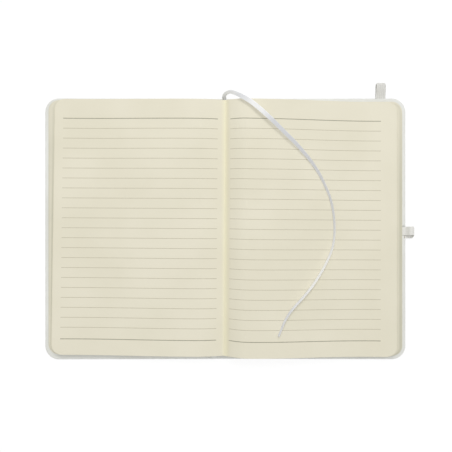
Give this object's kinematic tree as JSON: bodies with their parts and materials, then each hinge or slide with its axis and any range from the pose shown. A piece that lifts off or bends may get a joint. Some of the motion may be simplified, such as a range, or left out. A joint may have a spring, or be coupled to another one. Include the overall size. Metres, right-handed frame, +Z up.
{
  "type": "notebook",
  "caption": "Case-bound ruled notebook lying open at the middle, with a ribbon page marker, an elastic closing band and an elastic pen loop.",
  "frame": {"origin": "middle of the spine panel's underside, on the surface that the open notebook lies on", "axes": "+X across the open covers to the right-hand page, +Y to the head, +Z up from the table"},
  "size_m": [0.2967, 0.223, 0.0242],
  "materials": {
    "page_paper": "uncoated cream paper",
    "ruling_ink": "printed grey lines",
    "lining_paper": "matte lining paper",
    "board": "grey board",
    "cover_skin": "fine-grained white leatherette",
    "ribbon_satin": "white satin",
    "endpaper": "uncoated cream paper",
    "elastic": "light grey woven elastic"
  },
  "bodies": {
    "book": {"page_block": "page_paper", "ruled_lines": "ruling_ink", "spine_lining": "lining_paper", "spine_board": "board", "spine_cover": "cover_skin", "ribbon": "ribbon_satin"},
    "front": {"front_cover": "cover_skin", "front_board": "board", "front_endpaper": "endpaper"},
    "back": {"back_cover": "cover_skin", "back_board": "board", "back_endpaper": "endpaper", "elastic_band": "elastic", "pen_loop": "elastic"}
  },
  "joints": [
    {"name": "front_hinge", "type": "hinge", "parent": "book", "child": "front", "pos_m": [-0.0105, 0, 0.0003], "axis": [0, -1, 0], "range_deg": [0, 90]},
    {"name": "back_hinge", "type": "hinge", "parent": "book", "child": "back", "pos_m": [0.0105, 0, 0.0003], "axis": [0, 1, 0], "range_deg": [0, 90]}
  ]
}
